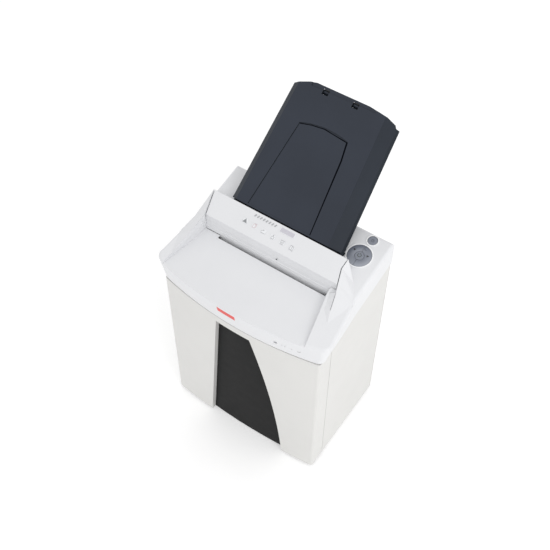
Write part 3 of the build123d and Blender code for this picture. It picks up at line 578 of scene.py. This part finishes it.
def shadow_gap():
    """Painted shade: a near-black film in the joint round the lid's inlaid panel, standing for the shade in
    it, widest at its far and right edges.
    """
    turn = tilt(LID_SLOPE)
    place = middle(*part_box("lid_hinge_pins")) + turn @ PANEL_FROM_HINGE
    right = [bar(39.2, 146, 49.0, 3.4, WIDE_JOINT), bar(33.3, 180.4, 39.4, 145.6, WIDE_JOINT)]
    crown = [bar(-65.5, 176.6, -42, 182.6, 1.4),
             bar(-42.4, 182.5, -16, 185.6, 1.6),
             bar(-16.4, 185.6, 33.6, 180.6, 1.8)]
    print_flat("shadow_gap", right + crown, place, turn, "lid", INKS["joint_painted_shade"], JOINT_SINK, 0.1 * MM)


# ---------------------------------------------------------------- printing on the head
DECK_SLOPE = math.atan2(46.0, 242.0)
PANEL_SLOPE = math.atan2(20.5, 44.7)
LENS_HALF_WIDTH = 5.5 * MM
LENS_HALF_DEPTH = 4.5 * MM
LENS_THICKNESS = 0.55 * MM
WINDOW_HALF_THICKNESS = 0.25 * MM
PICTOGRAM_SCALE = 1.15
LABEL_HALF_WIDTH = 14.6
LABEL_HALF_DEPTH = 4.3
STRIP_FROM_LABEL = 51 * MM
STRIP_RISE = 1.2 * MM
STRIP_STROKES = 8
STRIP_PITCH = 6.4


def print_hood():
    """Pictograms over the row of lenses, a tinted label and a plain strip of strokes beside it."""
    turn = tilt(PANEL_SLOPE)
    low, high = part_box("indicator_lenses")
    drawings = (warning_sign, too_many_sheets, lift_lid, sheet_in, full_bin, open_door)
    tints = ("mark_mid", "mark_rose", "mark_pale", "mark_pale", "mark_pale", "mark_pale")
    depth = LENS_HALF_DEPTH * math.cos(PANEL_SLOPE)
    rise = LENS_HALF_DEPTH * math.sin(PANEL_SLOPE)
    first = Vector((low.x + LENS_HALF_WIDTH, high.y - depth, high.z - rise))
    last = Vector((high.x - LENS_HALF_WIDTH, low.y + depth, low.z + rise))
    last.z += LENS_THICKNESS * math.cos(PANEL_SLOPE)
    for index, (drawing, tint) in enumerate(zip(drawings, tints)):
        place = first.lerp(last, index / (len(drawings) - 1))
        strokes = [[point * PICTOGRAM_SCALE for point in stroke] for stroke in drawing()]
        print_flat("pictogram_%d" % (index + 1), strokes, place, turn, "cabinet", INKS[tint])
    window = middle(*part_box("display_window"))
    up = Vector((0, -math.sin(PANEL_SLOPE), math.cos(PANEL_SLOPE))) * WINDOW_HALF_THICKNESS
    label = bar(-LABEL_HALF_WIDTH, 0, LABEL_HALF_WIDTH, 0, 2 * LABEL_HALF_DEPTH)
    print_flat("label_field", [label], window + up, turn, "cabinet", INKS["lilac"])
    starts = [-22 + STRIP_PITCH * k for k in range(STRIP_STROKES)]
    strip = [bar(start, -2.4, start + 2.5, 2.4, 2.6) for start in starts]
    place = window + up * 0.2 + turn @ Vector((-STRIP_FROM_LABEL, STRIP_RISE, 0))
    print_flat("plain_strip", strip, place, turn, "cabinet", INKS["mark_strip"])


EYE_HEIGHT = 32.2 * MM                  # above the hood's lower edge
EYE_SETBACK = 0.6 * MM                  # behind the hood's foremost point, about 2 mm ahead of its face here
EYE_SIDEWAYS = 9 * MM
EYE_RADIUS = 1.5
EYE_THICKNESS = 0.4 * MM
UPRIGHT = Matrix.Rotation(math.pi / 2, 3, "X")


def sensor_eye():
    """The small dark window of the sheet sensor, low on the hood's front face."""
    hood_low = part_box("hood")[0]
    sensors = middle(*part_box("paper_sensors"))
    place = Vector((sensors.x + EYE_SIDEWAYS, hood_low.y + EYE_SETBACK, hood_low.z + EYE_HEIGHT))
    print_flat("sensor_eye", [spot(0, 0, EYE_RADIUS)], place, UPRIGHT, "cabinet", INKS["mark_dark"],
               thickness=EYE_THICKNESS)


BUTTON_HALF_HEIGHT = 0.95 * MM
PRINT_LIFT = 0.1 * MM
KEY_LIFT = 0.3 * MM                     # the run keys' marks, above the level of the power sign
RUN_SIGNS = (("reverse_sign", "reverse_key", -14.5, 6.5, 155),
             ("forward_sign", "forward_key", 14.5, 5.5, 25))


def crown_of(node):
    """The middle of a round button's top face, on the sloping deck."""
    low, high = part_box(node)
    radius = (high.x - low.x) / 2
    crown = middle(low, high)
    crown.z = high.z - radius * math.sin(DECK_SLOPE)
    return crown


def print_dial():
    """A power sign, two direction triangles and a dash on the dial, and a padlock on the release key."""
    turn = tilt(DECK_SLOPE)
    print_lift = Vector((0, -math.sin(DECK_SLOPE), math.cos(DECK_SLOPE))) * PRINT_LIFT
    top = crown_of("power_button") + print_lift
    top.y -= BUTTON_HALF_HEIGHT * math.sin(DECK_SLOPE)
    print_flat("power_sign", power_sign(), top, turn, "power_key", INKS["green_grey"])
    for name, body, x, y, angle in RUN_SIGNS:
        place = top + turn @ Vector((x * MM, y * MM, KEY_LIFT))
        around = Matrix.Rotation(math.radians(angle), 3, "Z")
        triangle = [[Vector((-2.4, -2.4)), Vector((2.6, 0)), Vector((-2.4, 2.4))]]
        print_flat(name, triangle, place, turn @ around, body, INKS["mark_dark"])
    place = top + turn @ Vector((3.6 * MM, 14.8 * MM, KEY_LIFT))
    print_flat("dial_dash", [bar(-1.8, 0.4, 2.4, -0.6, 1.5)], place, turn, "forward_key", INKS["mark_deep"])
    padlock = box_strokes(-2.4, -2.8, 2.4, 0.4, 1.0) + [arc(0, 0.6, 2.0, 0.9, 0, 180)]
    place = crown_of("lid_release_button") + print_lift
    print_flat("release_sign", padlock, place, turn, "release_key", INKS["mark_deep"])


FASCIA_LIFT = 0.4 * MM
FASCIA_TURN = Matrix.Rotation(math.radians(8), 3, "Z") @ UPRIGHT
STATUS_LENS_RADIUS = 3 * MM
STATUS_SETBACK = 2.1 * MM               # the right eye, behind the left one, for the bow of the fascia
STATUS_MARKS = (
    ("status_dash", 7.5, -0.4, "mark_mid", [bar(-2.6, 1.0, 2.6, -1.0, 1.4)]),
    ("status_wave", 32.0, 2.6, "mark_soft", [bar(-5.5, 1.6, 0.5, 1.6, 1.2), bar(0.5, 1.8, 4.5, -2.0, 1.2)]),
    ("status_tick", 49.0, 5.4, "mark_soft",
     [bar(-3.2, -0.8, -0.6, -2.2, 1.4), bar(-0.6, -2.2, 3.6, 2.4, 1.2)]),
)


def print_fascia():
    """An eye at each status lens and three small marks, upright at the fascia's right end."""
    low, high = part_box("status_lenses")
    face = Vector((low.x, low.y, middle(low, high).z))
    lenses = ((low.x + STATUS_LENS_RADIUS, 0.0), (high.x - STATUS_LENS_RADIUS, STATUS_SETBACK))
    for index, (x, back) in enumerate(lenses):
        place = Vector((x, low.y + back, face.z))
        print_flat("status_eye_%d" % (index + 1), [spot(0, 0, 2.0)], place, FASCIA_TURN, "cabinet",
                   INKS["mark_deep"], lift=FASCIA_LIFT)
    for name, across, back, tint, strokes in STATUS_MARKS:
        place = face + Vector((across * MM, back * MM, 0))
        print_flat(name, strokes, place, FASCIA_TURN, "cabinet", INKS[tint], lift=FASCIA_LIFT)


# ---------------------------------------------------------------- the scene
make_camera()
paint_nodes()
refine("hood", "cabinet")
refine("feeder_lid", "lid")
hinge_blinds()
shadow_gap()
print_hood()
sensor_eye()
print_dial()
print_fascia()
make_studio()
bpy.context.view_layer.update()
